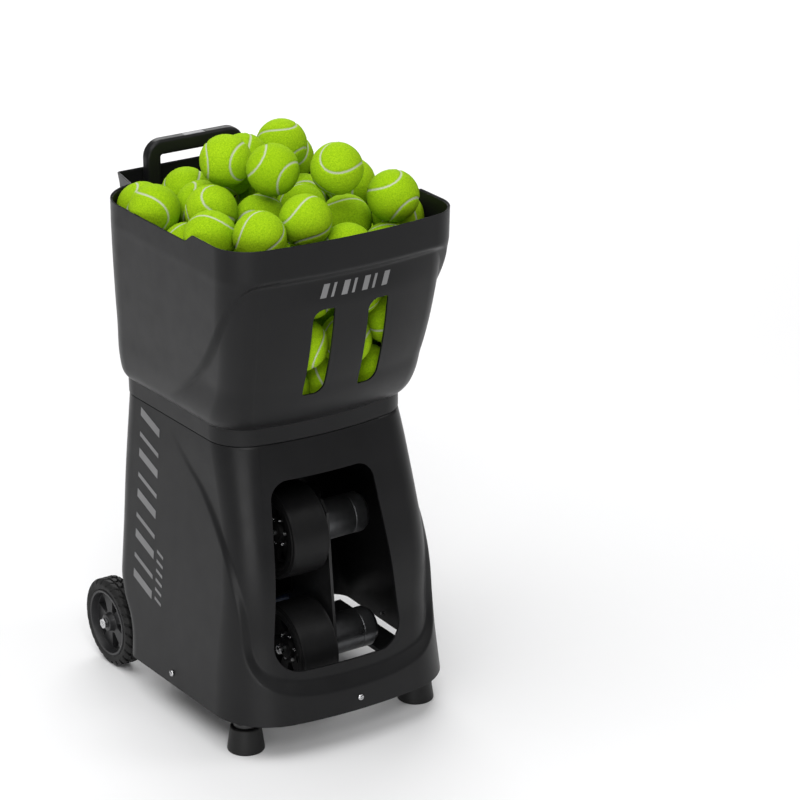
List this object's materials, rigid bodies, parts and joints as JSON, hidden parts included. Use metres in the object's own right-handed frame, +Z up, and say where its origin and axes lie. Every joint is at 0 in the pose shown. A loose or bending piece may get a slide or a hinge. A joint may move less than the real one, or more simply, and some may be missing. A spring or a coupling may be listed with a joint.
{
  "type": "tennis ball machine",
  "caption": "Free-standing ball-throwing machine: flared hopper on a tapered base, throwing wheels in a front window, trolley wheels and a pull-up handle behind.",
  "frame": {"origin": "on the ground under the middle of the machine's footprint", "axes": "+Z up, -Y the front the balls are thrown towards, +X to the right of someone facing the front"},
  "size_m": [0.345, 0.4532, 0.729],
  "materials": {
    "shell": "fine-grained satin black plastic",
    "hopper": "fine-grained satin black plastic",
    "inner_plastic": "plain dark moulded plastic",
    "tyre": "block-treaded black rubber",
    "foot_rubber": "matt black rubber",
    "tread_rubber": "smooth satin dark rubber",
    "wheel_rim": "dark moulded plastic with light edges",
    "bright_steel": "bright plated steel",
    "plated_steel": "zinc-plated steel, turned",
    "painted_frame": "satin black paint",
    "motor": "dark grey motor can",
    "handle_plastic": "satin black plastic",
    "gear_nylon": "natural nylon",
    "circuit_board": "green solder mask",
    "battery_case": "dark blue shrink film",
    "button_plastic": "mid-grey plastic",
    "control_face": "smooth black plastic"
  },
  "bodies": {
    "machine": {"axle_nut_left": "bright_steel", "axle_nut_right": "bright_steel", "base_shell": "shell", "battery_pack": "battery_case", "charge_socket": "control_face", "chassis_frame": "painted_frame", "control_panel": "control_face", "controller_board": "circuit_board", "drop_tube": "inner_plastic", "feed_motor": "motor", "foot_left": "foot_rubber", "foot_right": "foot_rubber", "foot_stud_left": "painted_frame", "foot_stud_right": "painted_frame", "front_screw": "bright_steel", "guide_collar_left": "inner_plastic", "guide_collar_right": "inner_plastic", "guide_tube_left": "painted_frame", "guide_tube_right": "painted_frame", "hopper_floor": "inner_plastic", "hopper_shell": "hopper", "mechanism_deck": "painted_frame", "pan_motor": "motor", "rear_axle": "plated_steel", "side_screw_left": "bright_steel", "side_screw_right": "bright_steel"},
    "trolley_wheel_left": {"trolley_rim_left": "wheel_rim", "trolley_tyre_left": "tyre"},
    "trolley_wheel_right": {"trolley_rim_right": "wheel_rim", "trolley_tyre_right": "tyre"},
    "trolley_handle": {"handle_grip": "handle_plastic", "handle_tube_left": "plated_steel", "handle_tube_right": "plated_steel"},
    "handle_button": {"handle_release_button": "button_plastic"},
    "carousel": {"feed_carousel": "inner_plastic"},
    "pan_head": {"pan_ring": "gear_nylon", "yoke": "painted_frame", "tilt_motor": "motor"},
    "pan_gear": {"pan_pinion": "gear_nylon"},
    "tilt_head": {"head_plate": "painted_frame", "tilt_sector": "gear_nylon", "feed_ramp": "inner_plastic", "tilt_pin_left": "plated_steel", "tilt_pin_right": "plated_steel", "upper_throw_motor": "motor", "lower_throw_motor": "motor"},
    "tilt_gear": {"tilt_pinion": "gear_nylon"},
    "upper_wheel": {"upper_wheel_shaft": "plated_steel", "upper_wheel_hub": "inner_plastic", "upper_wheel_tread": "tread_rubber", "upper_wheel_nut": "bright_steel"},
    "lower_wheel": {"lower_wheel_shaft": "plated_steel", "lower_wheel_hub": "inner_plastic", "lower_wheel_tread": "tread_rubber", "lower_wheel_nut": "bright_steel"},
    "door": {"battery_door": "shell"},
    "rocker": {"power_rocker": "button_plastic"},
    "button_1": {"panel_button_1": "button_plastic"},
    "button_2": {"panel_button_2": "button_plastic"},
    "button_3": {"panel_button_3": "button_plastic"}
  },
  "joints": [
    {"name": "trolley_wheel_left_spin", "type": "hinge", "parent": "machine", "child": "trolley_wheel_left", "pos_m": [-0.147, 0.1656, 0.061], "axis": [1, 0, 0], "continuous": true},
    {"name": "trolley_wheel_right_spin", "type": "hinge", "parent": "machine", "child": "trolley_wheel_right", "pos_m": [0.147, 0.1656, 0.061], "axis": [1, 0, 0], "continuous": true},
    {"name": "handle_slide", "type": "slide", "parent": "machine", "child": "trolley_handle", "axis": [0, 0, 1], "range_m": [0, 0.25]},
    {"name": "handle_button_press", "type": "slide", "parent": "trolley_handle", "child": "handle_button", "axis": [0, 0, -1], "range_m": [0, 0.003], "stiffness_N_per_m": 400},
    {"name": "carousel_spin", "type": "hinge", "parent": "machine", "child": "carousel", "pos_m": [0, -0.006, 0.4445], "axis": [0, 0, 1], "continuous": true},
    {"name": "head_pan", "type": "hinge", "parent": "machine", "child": "pan_head", "pos_m": [-0.0235, 0.051, 0.365], "axis": [0, 0, 1], "range_deg": [-12, 12]},
    {"name": "pan_pinion_spin", "type": "hinge", "parent": "machine", "child": "pan_gear", "pos_m": [-0.0958, 0.051, 0.365], "axis": [0, 0, 1], "range_deg": [-60, 60]},
    {"name": "head_tilt", "type": "hinge", "parent": "pan_head", "child": "tilt_head", "pos_m": [-0.0235, -0.006, 0.205], "axis": [1, 0, 0], "range_deg": [-10, 10]},
    {"name": "tilt_pinion_spin", "type": "hinge", "parent": "pan_head", "child": "tilt_gear", "pos_m": [-0.0235, -0.006, 0.2608], "axis": [1, 0, 0], "range_deg": [-43, 43]},
    {"name": "upper_wheel_spin", "type": "hinge", "parent": "tilt_head", "child": "upper_wheel", "pos_m": [-0.0235, -0.085, 0.259], "axis": [1, 0, 0], "continuous": true},
    {"name": "lower_wheel_spin", "type": "hinge", "parent": "tilt_head", "child": "lower_wheel", "pos_m": [-0.0235, -0.1055, 0.1005], "axis": [1, 0, 0], "continuous": true},
    {"name": "battery_door_swing", "type": "hinge", "parent": "machine", "child": "door", "pos_m": [0, 0.1375, 0.149], "axis": [1, 0, 0], "range_deg": [0, 80]},
    {"name": "power_rocker_rock", "type": "hinge", "parent": "machine", "child": "rocker", "pos_m": [-0.03, 0.1915, 0.235], "axis": [1, 0, 0], "range_deg": [-6, 6]},
    {"name": "panel_button_1_press", "type": "slide", "parent": "machine", "child": "button_1", "axis": [0, -1, 0], "range_m": [0, 0.0015], "stiffness_N_per_m": 300},
    {"name": "panel_button_2_press", "type": "slide", "parent": "machine", "child": "button_2", "axis": [0, -1, 0], "range_m": [0, 0.0015], "stiffness_N_per_m": 300},
    {"name": "panel_button_3_press", "type": "slide", "parent": "machine", "child": "button_3", "axis": [0, -1, 0], "range_m": [0, 0.0015], "stiffness_N_per_m": 300}
  ],
  "couplings": [
    {"joint": "pan_pinion_spin", "follows": "head_pan", "ratio": -5},
    {"joint": "tilt_pinion_spin", "follows": "head_tilt", "ratio": -4.2667}
  ]
}
